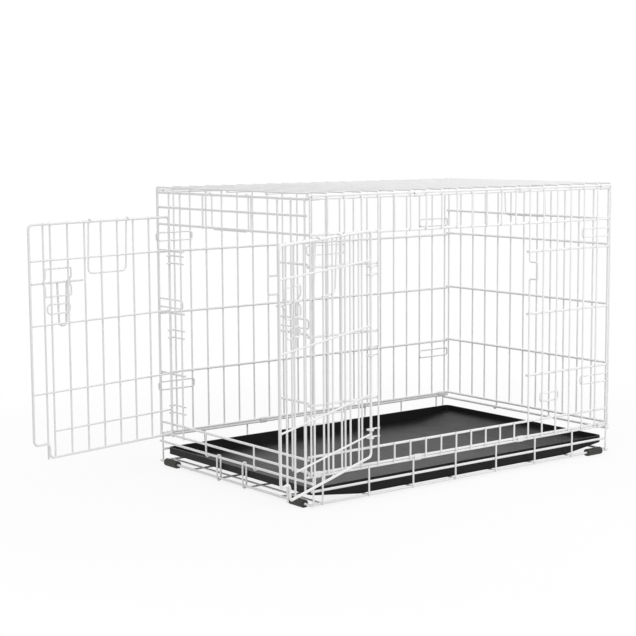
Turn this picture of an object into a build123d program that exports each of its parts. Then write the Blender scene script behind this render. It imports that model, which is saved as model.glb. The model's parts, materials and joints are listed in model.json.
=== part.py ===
"""Folding wire dog crate with two doors, a slide-out tray and rubber feet.

X runs along the crate from the front end (-X) to the rear end (+X), Y across it,
Z up from the floor. The origin is on the floor, under the middle of the crate.
Both doors stand open, as they do at rest.
"""

import os
from math import cos, radians, sin

from build123d import *

# Wires and the clearances between them
frame_wire = 4.6
mesh_wire = 3.4
bolt_wire = 4.0
loop_wire = 3.0
weld_gap = 0.02
hinge_gap = 0.1
slide_gap = 0.2
frame_radius = frame_wire / 2
mesh_radius = mesh_wire / 2
bolt_radius = bolt_wire / 2
loop_radius = loop_wire / 2
frame_to_mesh = frame_radius + mesh_radius + weld_gap
mesh_to_mesh = mesh_wire + weld_gap
wire_end = 3.0

# The mesh, and the room between an end wall and the two side walls
pitch = 38.1
length_count = 20
width = 483.2
width_count = 12
end_margin = 5.6
end_overhang = 1.8
length = length_count * pitch
end_pitch = (width - 2 * end_margin) / width_count
half_length = length / 2
half_width = width / 2

# Feet and base
foot_radius = 7.5
foot_flat = 6.5
foot_length = 40.0
foot_inset = 36.0
far_foot_inset = 48.0
floor_wire_z = foot_flat
floor_cross_z = floor_wire_z + frame_radius - mesh_radius
floor_long_z = floor_cross_z - mesh_to_mesh
leg_margin = 24.5
leg_pitch = 105.6
leg_count = 7
leg_rise = 1.5
floor_runs = 4
mid_rail_z = 30.0
front_rail_z = 46.0
rear_rail_z = 51.5
side_rail_z = 57.0
rail_overhang = 7.0
tie_spread = 84.0

# Walls and top
hinge_slack = 0.5
hinge_pitch = frame_wire + hinge_slack
side_bottom_z = side_rail_z + hinge_pitch
side_top_z = 541.0
top_z = side_top_z + hinge_pitch
row_heights = (182.5, 303.0, 424.0)
sill_z = 92.0
lintel_z = 479.0
end_bottom_z = 64.0
end_sill_z = 86.0
end_row_rise = 4.0
end_top_drop = 1.0
end_top_z = side_top_z - end_top_drop
end_brow_drop = 28.4
end_brow_z = end_top_z - end_brow_drop
end_row_heights = [height + end_row_rise for height in row_heights]
end_hooks = (4, 8)
top_runs = 3

# Hinge clips of folded sheet, and where they sit along the crate
clip_wall = 0.9
clip_length = 16.0
clip_places = (14.0, 6.5 * pitch, 13.5 * pitch, 19.5 * pitch)

# Doorways, in mesh gaps from the wall's first upright, and the doors that hang outside them
front_jamb_count = 2
front_door_count = 8
side_jamb_count = 4
side_door_count = 10
hinge_room = 0.9
side_hinge_back = 22.4
latch_room = 8.0
door_room = 1.7
front_open = 79.0
side_open = 150.5
front_door_bottom_z = 71.0
front_door_top_z = 494.5
side_door_bottom_z = 78.0
side_door_top_z = 481.5
door_low_row = 118.5
door_rows = (190.0, 313.5, 429.5)
door_bend = 9.0
hinge_margin = 49.0
front_free_margin = 51.0
side_free_margin = 66.0
front_upright_count = 7
side_upright_count = 8
notch_width = 35.0
notch_height = 27.0
hinge_heights = (door_low_row, 267.0, 411.5)
hinge_spread = 14.5
hinge_overhang = 5.0

# Sliding bolt, its keepers on the door and the step in the latch jamb that it shoots through
bolt_z = 388.0
bolt_length = 118.0
bolt_setback = 10.0
bolt_travel = 24.0
handle_width = 22.0
handle_drop = 80.0
handle_taper = 3.0
handle_bend = 7.0
keeper_setback = 70.0
keeper_width = 60.0
keeper_height = 50.0
keeper_step = 9.0
keeper_flat = 5.0
keeper_bend = 3.0
guide_width = 52.0
guide_height = 17.0
guide_drop = 48.0
guide_bend = 7.0
strike_half_height = 16.5
strike_room = 4.0
strike_bend = 4.0

# Swinging bails on the doors and at the two ends
door_bail_width = 92.0
door_bail_drop = 96.0
front_bail_place = 151.0
side_bail_place = 195.0
end_bail_width = 3 * end_pitch
end_bail_drop = 64.0
bail_bend = 10.0
bail_play = 0.4

# Catch loops in the walls near the crate's corners, and a short one by the side doorway
catch_length = 83.0
catch_height = 16.0
catch_overhang = 5.0
catch_bend = 5.0
side_catches = (157.0, 453.0)
end_catch = 325.0
stay_length = 50.0
stay_place = 15.6 * pitch
stay_z = 135.0

# Tray, deepest in the middle, with a floor that ramps up to both ends
tray_wall = 2.5
tray_height = 26.0
tray_end_height = 13.0
tray_ramp = 110.0
tray_corner = 10.0
tray_side_room = 8.6
tray_front_room = 7.0
tray_rear_room = 1.0

# Offsets worked out from the sizes above
hook_radius = frame_radius + mesh_radius + hinge_gap
hook_bend = hook_radius - hinge_gap
eye_radius = frame_radius + loop_radius + hinge_gap
eye_bend = eye_radius - 2 * hinge_gap
row_out = frame_to_mesh - mesh_to_mesh
leg_inset = frame_to_mesh
clip_inner = frame_radius + hinge_gap
clip_outer = clip_inner + clip_wall
end_plane = half_length + hook_radius - frame_to_mesh
mesh_face = frame_to_mesh + mesh_radius
door_axis_out = mesh_face + door_room + frame_radius
keeper_out = mesh_face + weld_gap + loop_radius
bolt_out = mesh_face + slide_gap + bolt_radius
keeper_bump_out = bolt_out + bolt_radius + slide_gap + loop_radius
handle_out = bolt_out + bolt_wire + weld_gap
bail_out = mesh_face + bail_play + loop_radius
catch_out = frame_to_mesh - mesh_radius - weld_gap - loop_radius
tray_z = floor_cross_z + mesh_radius + weld_gap
front_jamb = end_margin + front_jamb_count * end_pitch
side_jamb = side_jamb_count * pitch
front_latch_jamb = front_jamb + front_door_count * end_pitch
side_latch_jamb = side_jamb + side_door_count * pitch
front_hinge = front_jamb - end_pitch + mesh_radius + hinge_room + loop_radius + eye_radius
side_hinge = side_jamb - side_hinge_back
front_door_width = front_latch_jamb - latch_room - front_hinge
side_door_width = side_latch_jamb - latch_room - side_hinge

# Each flat net of wires lies on a plane: x along it, y up it, z out of the crate
floor_plane = Plane((-half_length, -half_width, 0), x_dir=(1, 0, 0), z_dir=(0, 0, 1))
top_plane = Plane((-half_length, -half_width, top_z), x_dir=(1, 0, 0), z_dir=(0, 0, 1))
near_plane = Plane((-half_length, -half_width, 0), x_dir=(1, 0, 0), z_dir=(0, -1, 0))
far_plane = Plane((half_length, half_width, 0), x_dir=(-1, 0, 0), z_dir=(0, 1, 0))
tie_plane = Plane((-half_length, half_width, 0), x_dir=(0, -1, 0), z_dir=(-1, 0, 0))
front_plane = Plane((-end_plane, half_width, 0), x_dir=(0, -1, 0), z_dir=(-1, 0, 0))
rear_plane = Plane((end_plane, -half_width, 0), x_dir=(0, 1, 0), z_dir=(1, 0, 0))


def swung_plane(wall, hinge, angle):
    """The plane of a door hung outside a wall and opened by an angle."""
    axis = wall.from_local_coords(Vector(hinge, 0, door_axis_out))
    along = wall.x_dir * cos(radians(angle)) + wall.z_dir * sin(radians(angle))
    out = wall.z_dir * cos(radians(angle)) - wall.x_dir * sin(radians(angle))
    return Plane(axis, x_dir=along, z_dir=out)


front_door_plane = swung_plane(front_plane, front_hinge, front_open)
side_door_plane = swung_plane(near_plane, side_hinge, side_open)


def uprights(net, radius, spots, start, end):
    """Straight wires up a net, at (along, out) spots."""
    with BuildSketch(Plane(net.origin + net.y_dir * start, x_dir=net.x_dir, z_dir=net.y_dir)) as ends:
        with Locations(*[(along, -out) for along, out in spots]):
            Circle(radius)
    extrude(ends.sketch, amount=end - start)


def rails(net, radius, spots, start, end):
    """Straight wires along a net, at (height, out) spots."""
    with BuildSketch(Plane(net.origin + net.x_dir * start, x_dir=net.y_dir, z_dir=net.x_dir)) as ends:
        with Locations(*spots):
            Circle(radius)
    extrude(ends.sketch, amount=end - start)


def posts(net, radius, spots, start, end):
    """Straight wires standing out of a net, at (along, height) spots."""
    with BuildSketch(net.offset(start)) as ends:
        with Locations(*spots):
            Circle(radius)
    extrude(ends.sketch, amount=end - start)


def bent_wire(net, radius, points, bend, close=False):
    """One wire bent through (along, height, out) points."""
    with BuildLine(net) as path:
        FilletPolyline(*points, radius=bend, close=close)
    with BuildSketch(Plane(path.wire() @ 0, z_dir=path.wire() % 0)) as section:
        Circle(radius)
    sweep(section.sketch, path=path.wire())


def sleeve(plane, amount):
    """A folded sheet clip round two wires, the way between them along the plane's x."""
    with BuildSketch(plane) as outline:
        SlotCenterToCenter(hinge_pitch, 2 * clip_outer)
        SlotCenterToCenter(hinge_pitch, 2 * clip_inner, mode=Mode.SUBTRACT)
    extrude(outline.sketch, amount=amount)


def finish(piece, name):
    """Label a finished piece and write it."""
    piece.part.label = name
    export_step(piece.part, f"parts/{name}.step")


def pitches(first, last):
    """Places of the sides' mesh wires from one count to another, both included."""
    return [count * pitch for count in range(first, last + 1)]


def end_pitches(first, last):
    """Places of the ends' mesh wires from one count to another, both included."""
    return [end_margin + count * end_pitch for count in range(first, last + 1)]


def make_base():
    """Floor grid, corner posts, legs and hinge rails."""
    corners = (leg_inset, length - leg_inset)
    legs = [leg_margin + count * leg_pitch for count in range(leg_count)]
    near_posts = [(place, -frame_to_mesh) for place in (*corners, *legs)]
    far_posts = [(length - place, width + frame_to_mesh) for place in (*corners, *legs)]
    run_pitch = width / (floor_runs + 1)
    runs = [run_pitch * (count + 1) for count in range(floor_runs)]
    butt = frame_radius + weld_gap
    with BuildPart() as base:
        uprights(floor_plane, frame_radius, [(0, floor_wire_z), (length, floor_wire_z)],
                 -mesh_face, width + mesh_face)
        uprights(floor_plane, frame_radius, [(0, front_rail_z), (length, rear_rail_z)],
                 -rail_overhang, width + rail_overhang)
        rails(floor_plane, frame_radius, [(0, floor_wire_z), (width, floor_wire_z)], butt, length - butt)
        rails(floor_plane, frame_radius, [(0, side_rail_z), (width, side_rail_z)],
              -rail_overhang, length + rail_overhang)
        rails(floor_plane, mesh_radius, [(run, floor_long_z) for run in runs], butt, length - butt)
        rails(floor_plane, frame_radius, [(0, mid_rail_z), (width, mid_rail_z)], wire_end, length - wire_end)
        uprights(floor_plane, mesh_radius, [(leg, floor_cross_z) for leg in legs], butt, width - butt)
        posts(floor_plane, mesh_radius, near_posts + far_posts,
              floor_wire_z - frame_radius, side_rail_z + leg_rise)
    finish(base, "base")


def make_feet():
    """Four rubber sleeves, flat underneath, on the base's lowest wires."""
    across = half_width - foot_inset
    rear_insets = ((-1, foot_inset), (1, far_foot_inset))
    places = [Plane((-half_length, side * across, floor_wire_z), x_dir=(-1, 0, 0), z_dir=(0, 1, 0))
              for side in (-1, 1)]
    places += [Plane((half_length - inset, side * half_width, floor_wire_z),
                     x_dir=(0, 1, 0), z_dir=(1, 0, 0)) for side, inset in rear_insets]
    with BuildPart() as feet:
        for place in places:
            with BuildSketch(place):
                Circle(foot_radius)
                with Locations((0, -foot_flat)):
                    Rectangle(2 * foot_radius, foot_radius, align=(Align.CENTER, Align.MAX),
                              mode=Mode.SUBTRACT)
                Circle(frame_radius + weld_gap, mode=Mode.SUBTRACT)
            extrude(amount=foot_length / 2, both=True)
    finish(feet, "feet")


def make_ties():
    """Two long rings that tie the front end rail to the front floor wire."""
    high = front_rail_z + hook_radius
    low = floor_wire_z - hook_radius
    with BuildPart() as ties:
        for side in (-1, 1):
            place = half_width + side * tie_spread / 2
            bent_wire(tie_plane, mesh_radius, [
                (place, low, -hook_radius), (place, high, -hook_radius),
                (place, high, hook_radius), (place, low, hook_radius)], hook_bend, close=True)
    finish(ties, "front_ties")


def make_tray():
    """A pan with upright walls, its floor ramped up to its two ends."""
    tray_width = width - 2 * tray_side_room
    front = tray_front_room - half_length
    rear = half_length - tray_rear_room
    rim_z = tray_z + tray_height
    end_z = rim_z - tray_end_height
    with BuildPart() as tray:
        with BuildSketch(Plane.XZ):
            with BuildLine():
                Polyline((front, rim_z), (front, end_z), (front + tray_ramp, tray_z),
                         (rear - tray_ramp, tray_z), (rear, end_z), (rear, rim_z), close=True)
            make_face()
        extrude(amount=tray_width / 2, both=True)
        fillet(tray.edges().filter_by(Axis.Z), tray_corner)
        offset(amount=-tray_wall, openings=tray.faces().sort_by(Axis.Z)[-1])
    finish(tray, "tray")


def make_near_side():
    """The side wall with the doorway; its latch jamb is a piece of its own."""
    low = side_bottom_z - wire_end
    high = side_top_z + wire_end
    latch_count = side_jamb_count + side_door_count
    stiles = pitches(0, side_jamb_count) + pitches(latch_count + 1, length_count)
    shorts = pitches(side_jamb_count + 1, latch_count - 1)
    rows = [(height, 0) for height in row_heights]
    through = [(height, 0) for height in (side_bottom_z, sill_z, lintel_z, side_top_z)]
    with BuildPart() as near_side:
        rails(near_plane, frame_radius, through, -wire_end, length + wire_end)
        uprights(near_plane, mesh_radius, [(place, frame_to_mesh) for place in stiles], low, high)
        uprights(near_plane, mesh_radius, [(place, frame_to_mesh) for place in shorts],
                 low, sill_z + wire_end)
        uprights(near_plane, mesh_radius, [(place, frame_to_mesh) for place in shorts],
                 lintel_z - wire_end, high)
        rails(near_plane, frame_radius, rows, -wire_end, side_jamb + wire_end)
        rails(near_plane, frame_radius, rows, side_latch_jamb - wire_end, length + wire_end)
    finish(near_side, "near_side")


def make_far_side():
    """The plain side wall."""
    rows = [(height, 0) for height in (side_bottom_z, *row_heights, side_top_z)]
    with BuildPart() as far_side:
        rails(far_plane, frame_radius, rows, -wire_end, length + wire_end)
        uprights(far_plane, mesh_radius, [(place, frame_to_mesh) for place in pitches(0, length_count)],
                 side_bottom_z - wire_end, side_top_z + wire_end)
    finish(far_side, "far_side")


def make_top():
    """The roof panel."""
    run_pitch = width / (top_runs + 1)
    runs = [run_pitch * (count + 1) for count in range(top_runs)]
    with BuildPart() as top:
        rails(top_plane, frame_radius, [(0, 0), (width, 0)], -wire_end, length + wire_end)
        uprights(top_plane, mesh_radius, [(place, frame_to_mesh) for place in pitches(0, length_count)],
                 -wire_end, width + wire_end)
        rails(top_plane, mesh_radius, [(run, row_out) for run in runs], -wire_end, length + wire_end)
    finish(top, "top")


def end_hook(net, place, top, rail_z):
    """An end's upright that runs down and hooks round the end rail."""
    inner = frame_to_mesh - 2 * hook_radius
    bent_wire(net, mesh_radius, [
        (place, top, frame_to_mesh),
        (place, rail_z - hook_radius, frame_to_mesh),
        (place, rail_z - hook_radius, inner),
        (place, rail_z, inner)], hook_bend)


def make_front_end():
    """The end wall with the doorway; its latch jamb is a piece of its own."""
    high = end_top_z + wire_end
    first = end_margin - end_overhang
    last = width - first
    latch_count = front_jamb_count + front_door_count
    stiles = end_pitches(0, front_jamb_count) + end_pitches(latch_count + 1, width_count)
    shorts = [end_margin + count * end_pitch for count in end_hooks]
    rows = [(height, 0) for height in end_row_heights]
    through = [(height, 0) for height in (end_bottom_z, end_sill_z, lintel_z, end_brow_z, end_top_z)]
    with BuildPart() as front_end:
        rails(front_plane, frame_radius, through, first, last)
        uprights(front_plane, mesh_radius, [(place, frame_to_mesh) for place in stiles],
                 end_bottom_z - wire_end, high)
        uprights(front_plane, mesh_radius, [(place, frame_to_mesh) for place in shorts],
                 lintel_z - wire_end, high)
        rails(front_plane, frame_radius, rows, first, front_jamb + wire_end)
        rails(front_plane, frame_radius, rows, front_latch_jamb - wire_end, last)
        for place in shorts:
            end_hook(front_plane, place, end_sill_z + wire_end, front_rail_z)
    finish(front_end, "front_end")


def make_rear_end():
    """The plain end wall, hung on the rear end rail by two hooks."""
    first = end_margin - end_overhang
    last = width - first
    hooked = [end_margin + count * end_pitch for count in end_hooks]
    straight = [place for place in end_pitches(0, width_count) if place not in hooked]
    rows = [(height, 0) for height in (end_bottom_z, *end_row_heights, lintel_z, end_top_z)]
    with BuildPart() as rear_end:
        rails(rear_plane, frame_radius, rows, first, last)
        uprights(rear_plane, mesh_radius, [(place, frame_to_mesh) for place in straight],
                 end_bottom_z - wire_end, end_top_z + wire_end)
        for place in hooked:
            end_hook(rear_plane, place, end_top_z + wire_end, rear_rail_z)
    finish(rear_end, "rear_end")


def make_clips(side, height, name):
    """Four sheet clips that hinge a side wall to the wire below or above it."""
    with BuildPart() as clips:
        for place in clip_places:
            along = side * (half_length - place)
            start = (along - clip_length / 2, side * half_width, height + hinge_pitch / 2)
            sleeve(Plane(start, x_dir=(0, 0, 1), z_dir=(1, 0, 0)), clip_length)
    finish(clips, name)


def make_hinges(wall, hinge, jamb, name):
    """Six wire hooks, in pairs, that start behind a jamb and curl round a door's edge."""
    start = jamb + hinge_overhang
    back = hinge - eye_radius
    front = hinge + eye_radius
    crown = door_axis_out + eye_radius
    with BuildPart() as hinges:
        for middle in hinge_heights:
            for side in (-1, 1):
                level = middle + side * hinge_spread / 2
                bent_wire(wall, loop_radius, [
                    (start, level, catch_out), (back, level, catch_out), (back, level, crown),
                    (front, level, crown), (front, level, door_axis_out)], eye_bend)
    finish(hinges, name)


def make_door(net, door_width, bottom, top, count, free_margin, name):
    """A door: a bent frame with a notch at its low free corner, filled with mesh."""
    notch = door_width - notch_width
    notch_z = bottom + notch_height
    butt = frame_radius + weld_gap
    step = (door_width - hinge_margin - free_margin) / (count - 1)
    places = [hinge_margin + step * place for place in range(count)]
    with BuildPart() as door:
        bent_wire(net, frame_radius, [
            (0, top, 0), (door_width, top, 0), (door_width, notch_z, 0), (notch, notch_z, 0),
            (notch, bottom, 0), (0, bottom, 0)], door_bend, close=True)
        rails(net, mesh_radius, [(height, row_out) for height in door_rows], butt, door_width - butt)
        rails(net, mesh_radius, [(door_low_row, row_out)], butt, places[-1] + wire_end)
        uprights(net, mesh_radius, [(place, frame_to_mesh) for place in (*places, notch)],
                 bottom - wire_end, top + wire_end)
    finish(door, name)


def make_keepers(net, door_width, name):
    """The stepped ring the bolt slides in and the ring its handle is held by."""
    middle = door_width - keeper_setback
    left = middle - keeper_width / 2
    right = middle + keeper_width / 2
    high = bolt_z + keeper_height / 2
    low = bolt_z - keeper_height / 2
    steps = ((-keeper_step, keeper_out), (-keeper_flat, keeper_bump_out),
             (keeper_flat, keeper_bump_out), (keeper_step, keeper_out))
    rise = [(left, bolt_z + step, out) for step, out in steps]
    fall = [(right, bolt_z - step, out) for step, out in steps]
    guide_left = middle - guide_width / 2
    guide_right = middle + guide_width / 2
    guide_z = bolt_z - guide_drop
    guide_high = guide_z + guide_height / 2
    guide_low = guide_z - guide_height / 2
    with BuildPart() as keepers:
        bent_wire(net, loop_radius, [
            (left, low, keeper_out), *rise, (left, high, keeper_out),
            (right, high, keeper_out), *fall, (right, low, keeper_out)], keeper_bend, close=True)
        bent_wire(net, loop_radius, [
            (guide_left, guide_low, keeper_out), (guide_left, guide_high, keeper_out),
            (guide_right, guide_high, keeper_out), (guide_right, guide_low, keeper_out)],
            guide_bend, close=True)
    finish(keepers, name)


def make_bolt(net, door_width, name):
    """The sliding rod and the drop handle fixed to it."""
    tip = door_width - bolt_setback
    handle = door_width - keeper_setback - bolt_travel / 2
    half = handle_width / 2
    foot = half - handle_taper
    high = bolt_z + bolt_radius
    low = bolt_z - handle_drop
    with BuildPart() as bolt:
        rails(net, bolt_radius, [(bolt_z, bolt_out)], tip - bolt_length, tip)
        bent_wire(net, bolt_radius, [
            (handle - half, high, handle_out), (handle - foot, low, handle_out),
            (handle + foot, low, handle_out), (handle + half, high, handle_out)],
            handle_bend)
    finish(bolt, name)


def make_strike(wall, jamb, low, high, name):
    """A latch jamb's upright, with the step that the bolt shoots through."""
    reach = door_axis_out + bolt_out + bolt_radius + strike_room + mesh_radius
    lower = bolt_z - strike_half_height
    upper = bolt_z + strike_half_height
    with BuildPart() as strike:
        bent_wire(wall, mesh_radius, [
            (jamb, low, frame_to_mesh), (jamb, lower, frame_to_mesh), (jamb, lower, reach),
            (jamb, upper, reach), (jamb, upper, frame_to_mesh), (jamb, high, frame_to_mesh)], strike_bend)
    finish(strike, name)


def make_bail(net, place, height, bail_width, drop, inner, outer, name):
    """A drop loop hung by two eyes on a level wire, its legs on the outer side."""
    left = place - bail_width / 2
    right = place + bail_width / 2
    crown = height + eye_radius
    low = height - drop
    with BuildPart() as bail:
        bent_wire(net, loop_radius, [
            (left, height, -inner), (left, crown, -inner), (left, crown, inner), (left, low, outer),
            (right, low, outer), (right, crown, inner), (right, crown, -inner), (right, height, -inner)],
            (eye_bend, eye_bend, bail_bend, bail_bend, eye_bend, eye_bend))
    finish(bail, name)


def catch(wall, middle, height, size):
    """A long closed loop welded inside a wall's uprights."""
    left = middle - size / 2
    right = middle + size / 2
    low = height - catch_height / 2
    high = height + catch_height / 2
    bent_wire(wall, loop_radius, [
        (left, low, catch_out), (left, high, catch_out), (right, high, catch_out), (right, low, catch_out)],
        catch_bend, close=True)


def make_catches():
    """The loops in the walls near the corners, and the one by the side doorway."""
    near = catch_length / 2 - catch_overhang
    with BuildPart() as catches:
        for wall in (near_plane, far_plane):
            for middle in (near, length - near):
                for height in side_catches:
                    catch(wall, middle, height, catch_length)
        for middle in (end_margin + near, width - end_margin - near):
            catch(front_plane, middle, end_catch, catch_length)
        catch(near_plane, stay_place, stay_z, stay_length)
    finish(catches, "corner_catches")


def make_crate():
    """Every piece of the crate."""
    make_base()
    make_feet()
    make_ties()
    make_tray()
    make_near_side()
    make_far_side()
    make_top()
    make_front_end()
    make_rear_end()
    make_clips(-1, side_rail_z, "near_lower_clips")
    make_clips(1, side_rail_z, "far_lower_clips")
    make_clips(-1, side_top_z, "near_upper_clips")
    make_clips(1, side_top_z, "far_upper_clips")
    make_catches()
    make_hinges(front_plane, front_hinge, front_jamb, "front_door_hinges")
    make_hinges(near_plane, side_hinge, side_jamb, "side_door_hinges")
    make_strike(front_plane, front_latch_jamb, end_bottom_z - wire_end, end_top_z + wire_end,
                "front_strike")
    make_strike(near_plane, side_latch_jamb, side_bottom_z - wire_end, side_top_z + wire_end,
                "side_strike")
    make_door(front_door_plane, front_door_width, front_door_bottom_z, front_door_top_z,
              front_upright_count, front_free_margin, "front_door")
    make_door(side_door_plane, side_door_width, side_door_bottom_z, side_door_top_z,
              side_upright_count, side_free_margin, "side_door")
    make_keepers(front_door_plane, front_door_width, "front_keepers")
    make_keepers(side_door_plane, side_door_width, "side_keepers")
    make_bolt(front_door_plane, front_door_width, "front_bolt")
    make_bolt(side_door_plane, side_door_width, "side_bolt")
    make_bail(front_door_plane, front_bail_place, front_door_top_z, door_bail_width, door_bail_drop,
              eye_radius, bail_out, "front_bail")
    make_bail(side_door_plane, side_bail_place, side_door_top_z, door_bail_width, door_bail_drop,
              eye_radius, bail_out, "side_bail")
    make_bail(front_plane, half_width, end_top_z, end_bail_width, end_bail_drop,
              -eye_radius, -eye_radius, "front_end_bail")
    make_bail(rear_plane, half_width, end_top_z, end_bail_width, end_bail_drop,
              eye_radius, bail_out, "rear_bail")


os.makedirs("parts", exist_ok=True)
make_crate()
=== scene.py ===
import json
import math

import bpy
from mathutils import Matrix, Vector


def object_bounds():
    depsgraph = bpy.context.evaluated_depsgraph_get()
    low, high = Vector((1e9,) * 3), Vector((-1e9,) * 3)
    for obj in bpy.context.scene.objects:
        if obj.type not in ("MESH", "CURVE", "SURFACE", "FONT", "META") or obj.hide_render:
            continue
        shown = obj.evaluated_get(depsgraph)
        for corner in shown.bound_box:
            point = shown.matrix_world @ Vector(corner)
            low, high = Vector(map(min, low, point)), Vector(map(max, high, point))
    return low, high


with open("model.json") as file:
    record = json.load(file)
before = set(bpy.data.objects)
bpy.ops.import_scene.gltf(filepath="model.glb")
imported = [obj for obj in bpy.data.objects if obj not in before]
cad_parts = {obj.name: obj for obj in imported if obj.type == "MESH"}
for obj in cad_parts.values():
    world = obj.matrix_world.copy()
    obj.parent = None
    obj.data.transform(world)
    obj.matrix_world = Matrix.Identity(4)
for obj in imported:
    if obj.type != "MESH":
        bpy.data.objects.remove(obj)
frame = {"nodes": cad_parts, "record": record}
cad_low, cad_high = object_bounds()

scene = bpy.context.scene
scene.view_settings.view_transform = "Standard"

# Camera, solved from the photograph: place in metres, angles in degrees, lens and sensor in millimetres
CAMERA_PLACE = (-1.9658, -2.3112, 0.6468)
CAMERA_HEADING = (0.61263, 0.79037)
CAMERA_PITCH = 6.791
CAMERA_ROLL = -0.342
CAMERA_LENS = 86.347
CAMERA_SENSOR = 36.0
CAMERA_NEAR = 0.05
CAMERA_FAR = 60.0

# Each grain: noise scale and detail of the tone, of the roughness and of the surface, then the bump's strength
WIRE_GRAIN = ((9.0, 4.0), (60.0, 3.0), (900.0, 2.0), 0.12)
PLASTIC_GRAIN = ((5.0, 5.0), (35.0, 4.0), (1400.0, 3.0), 0.25)
RUBBER_GRAIN = ((40.0, 4.0), (120.0, 3.0), (1600.0, 2.0), 0.3)
BUMP_DISTANCE = 0.0004
SHADE_STOP = 0.3
LIGHT_STOP = 0.7

# Specular level of each kind of surface
COAT_SHEEN = 0.35
PLASTIC_SHEEN = 0.11
RUBBER_SHEEN = 0.5

SMOOTH_ANGLE = 35

# The floor is seen as plain white far away, and keeps some of its shading near the crate
FLOOR_REACH = 9.0
FLOOR_DROP = 0.0005
FLOOR_COLOUR = (0.86, 0.86, 0.86)
FADE_START = 0.5
FADE_END = 1.2
NEAR_WHITE = 0.86
FAR_WHITE = 1.0
WHITE_STRENGTH = 1.0
ROOM_STRENGTH = 0.53

# Lamps: name, place, aim, size in metres and power in watts
LAMPS = [
    ("key", (0.2, -1.35, 1.25), (0, 0, 0.3), 0.9, 9),
    ("fill", (-2.6, -1.8, 2.4), (0, 0, 0.25), 2.0, 12),
    ("back", (1.0, 2.6, 2.4), (0, 0, 0.3), 1.8, 18),
    ("top", (-0.3, -0.3, 2.3), (0, 0, 0.5), 1.6, 10),
]


def make_camera():
    data = bpy.data.cameras.new("camera")
    data.lens = CAMERA_LENS
    data.sensor_width = CAMERA_SENSOR
    data.clip_start = CAMERA_NEAR
    data.clip_end = CAMERA_FAR
    camera = bpy.data.objects.new("camera", data)
    scene.collection.objects.link(camera)
    pitch = math.radians(CAMERA_PITCH)
    heading = Vector(CAMERA_HEADING).normalized() * math.cos(pitch)
    ahead = Vector((heading.x, heading.y, -math.sin(pitch)))
    roll = Matrix.Rotation(math.radians(CAMERA_ROLL), 3, "Z")
    turn = ahead.to_track_quat("-Z", "Y").to_matrix() @ roll
    camera.matrix_world = Matrix.Translation(CAMERA_PLACE) @ turn.to_4x4()
    scene.camera = camera


def empty_material(name):
    material = bpy.data.materials.new(name)
    material.use_nodes = True
    tree = material.node_tree
    tree.nodes.clear()
    output = tree.nodes.new("ShaderNodeOutputMaterial")
    return material, tree, output.inputs["Surface"]


def noise(tree, scale, detail):
    place = tree.nodes.new("ShaderNodeTexCoord")
    node = tree.nodes.new("ShaderNodeTexNoise")
    node.inputs["Scale"].default_value = scale
    node.inputs["Detail"].default_value = detail
    tree.links.new(place.outputs["Object"], node.inputs["Vector"])
    return node.outputs["Fac"]


def ramp(tree, value, shade, light):
    node = tree.nodes.new("ShaderNodeValToRGB")
    stops = ((SHADE_STOP, shade), (LIGHT_STOP, light))
    for band, (position, colour) in zip(node.color_ramp.elements, stops):
        band.position = position
        band.color = (*colour, 1.0)
    tree.links.new(value, node.inputs["Fac"])
    return node.outputs["Color"]


def spread(tree, value, low, high):
    node = tree.nodes.new("ShaderNodeMapRange")
    node.inputs["To Min"].default_value = low
    node.inputs["To Max"].default_value = high
    tree.links.new(value, node.inputs["Value"])
    return node.outputs["Result"]


def bump(tree, shader, height, strength):
    node = tree.nodes.new("ShaderNodeBump")
    node.inputs["Strength"].default_value = strength
    node.inputs["Distance"].default_value = BUMP_DISTANCE
    tree.links.new(height, node.inputs["Height"])
    tree.links.new(node.outputs["Normal"], shader.inputs["Normal"])


def finish(name, shade, light, rough, sheen, grain):
    tone_grain, rough_grain, surface_grain, strength = grain
    material, tree, surface = empty_material(name)
    shader = tree.nodes.new("ShaderNodeBsdfPrincipled")
    tree.links.new(shader.outputs["BSDF"], surface)
    tone = ramp(tree, noise(tree, *tone_grain), shade, light)
    tree.links.new(tone, shader.inputs["Base Color"])
    roughness = spread(tree, noise(tree, *rough_grain), *rough)
    tree.links.new(roughness, shader.inputs["Roughness"])
    shader.inputs["Specular IOR Level"].default_value = sheen
    bump(tree, shader, noise(tree, *surface_grain), strength)
    return material


FINISHES = {
    "wire": finish("white_coat", (0.86, 0.86, 0.86), (0.90, 0.90, 0.90),
                   (0.30, 0.42), COAT_SHEEN, WIRE_GRAIN),
    "bolts": finish("bolt_coat", (0.83, 0.83, 0.83), (0.88, 0.88, 0.88),
                    (0.26, 0.40), COAT_SHEEN, WIRE_GRAIN),
    "clips": finish("clip_coat", (0.82, 0.82, 0.82), (0.87, 0.87, 0.87),
                    (0.32, 0.46), COAT_SHEEN, WIRE_GRAIN),
    "tray": finish("tray_plastic", (0.013, 0.013, 0.014), (0.020, 0.020, 0.021),
                   (0.30, 0.44), PLASTIC_SHEEN, PLASTIC_GRAIN),
    "feet": finish("foot_rubber", (0.026, 0.026, 0.022), (0.040, 0.040, 0.034),
                   (0.55, 0.75), RUBBER_SHEEN, RUBBER_GRAIN),
}


def dress():
    for entry in frame["record"]["subparts"]:
        node = frame["nodes"][entry["node"]]
        node.data.materials.clear()
        node.data.materials.append(FINISHES[entry["material_slot"]])
        for face in node.data.polygons:
            face.use_smooth = True
        edges = node.modifiers.new("edges", "EDGE_SPLIT")
        edges.split_angle = math.radians(SMOOTH_ANGLE)


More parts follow.
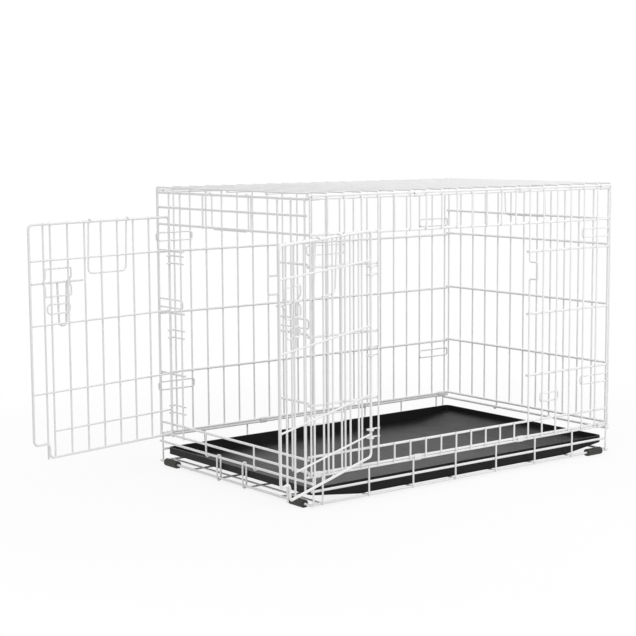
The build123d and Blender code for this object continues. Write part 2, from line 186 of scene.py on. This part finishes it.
# 1 for the rays that see the background: from the camera, off a glossy surface or through glass
def background_rays(tree):
    path = tree.nodes.new("ShaderNodeLightPath")
    direct = tree.nodes.new("ShaderNodeMath")
    direct.operation = "MAXIMUM"
    every = tree.nodes.new("ShaderNodeMath")
    every.operation = "MAXIMUM"
    tree.links.new(path.outputs["Is Camera Ray"], direct.inputs[0])
    tree.links.new(path.outputs["Is Glossy Ray"], direct.inputs[1])
    tree.links.new(direct.outputs["Value"], every.inputs[0])
    tree.links.new(path.outputs["Is Transmission Ray"], every.inputs[1])
    return every.outputs["Value"]


# How much of the floor is seen as plain white, by distance from the middle of the crate
def white_share(tree):
    place = tree.nodes.new("ShaderNodeTexCoord")
    reach = tree.nodes.new("ShaderNodeVectorMath")
    reach.operation = "LENGTH"
    share = tree.nodes.new("ShaderNodeMapRange")
    share.inputs["From Min"].default_value = FADE_START
    share.inputs["From Max"].default_value = FADE_END
    share.inputs["To Min"].default_value = NEAR_WHITE
    share.inputs["To Max"].default_value = FAR_WHITE
    tree.links.new(place.outputs["Object"], reach.inputs[0])
    tree.links.new(reach.outputs["Value"], share.inputs["Value"])
    return share.outputs["Result"]


def seen_white(name, colour):
    material, tree, surface = empty_material(name)
    diffuse = tree.nodes.new("ShaderNodeBsdfDiffuse")
    diffuse.inputs["Color"].default_value = (*colour, 1.0)
    glow = tree.nodes.new("ShaderNodeEmission")
    glow.inputs["Strength"].default_value = WHITE_STRENGTH
    part = tree.nodes.new("ShaderNodeMath")
    part.operation = "MULTIPLY"
    mix = tree.nodes.new("ShaderNodeMixShader")
    tree.links.new(background_rays(tree), part.inputs[0])
    tree.links.new(white_share(tree), part.inputs[1])
    tree.links.new(part.outputs["Value"], mix.inputs["Fac"])
    tree.links.new(diffuse.outputs["BSDF"], mix.inputs[1])
    tree.links.new(glow.outputs["Emission"], mix.inputs[2])
    tree.links.new(mix.outputs["Shader"], surface)
    return material


def make_floor():
    mesh = bpy.data.meshes.new("floor")
    corners = [(-FLOOR_REACH, -FLOOR_REACH, 0), (FLOOR_REACH, -FLOOR_REACH, 0),
               (FLOOR_REACH, FLOOR_REACH, 0), (-FLOOR_REACH, FLOOR_REACH, 0)]
    mesh.from_pydata(corners, [], [(0, 1, 2, 3)])
    floor = bpy.data.objects.new("floor", mesh)
    scene.collection.objects.link(floor)
    floor.location.z = cad_low.z - FLOOR_DROP
    mesh.materials.append(seen_white("floor_white", FLOOR_COLOUR))


def white_background(tree, strength):
    node = tree.nodes.new("ShaderNodeBackground")
    node.inputs["Color"].default_value = (1.0, 1.0, 1.0, 1.0)
    node.inputs["Strength"].default_value = strength
    return node.outputs["Background"]


def make_world():
    world = bpy.data.worlds.new("studio")
    world.use_nodes = True
    scene.world = world
    tree = world.node_tree
    tree.nodes.clear()
    output = tree.nodes.new("ShaderNodeOutputWorld")
    mix = tree.nodes.new("ShaderNodeMixShader")
    tree.links.new(background_rays(tree), mix.inputs["Fac"])
    tree.links.new(white_background(tree, ROOM_STRENGTH), mix.inputs[1])
    tree.links.new(white_background(tree, WHITE_STRENGTH), mix.inputs[2])
    tree.links.new(mix.outputs["Shader"], output.inputs["Surface"])


def area_light(name, place, aim, size, power):
    data = bpy.data.lights.new(name, "AREA")
    data.shape = "SQUARE"
    data.size = size
    data.energy = power
    light = bpy.data.objects.new(name, data)
    scene.collection.objects.link(light)
    light.location = place
    light.visible_camera = False
    light.rotation_mode = "QUATERNION"
    light.rotation_quaternion = (Vector(aim) - Vector(place)).to_track_quat("-Z", "Y")


make_camera()
dress()
make_floor()
make_world()
for lamp in LAMPS:
    area_light(*lamp)
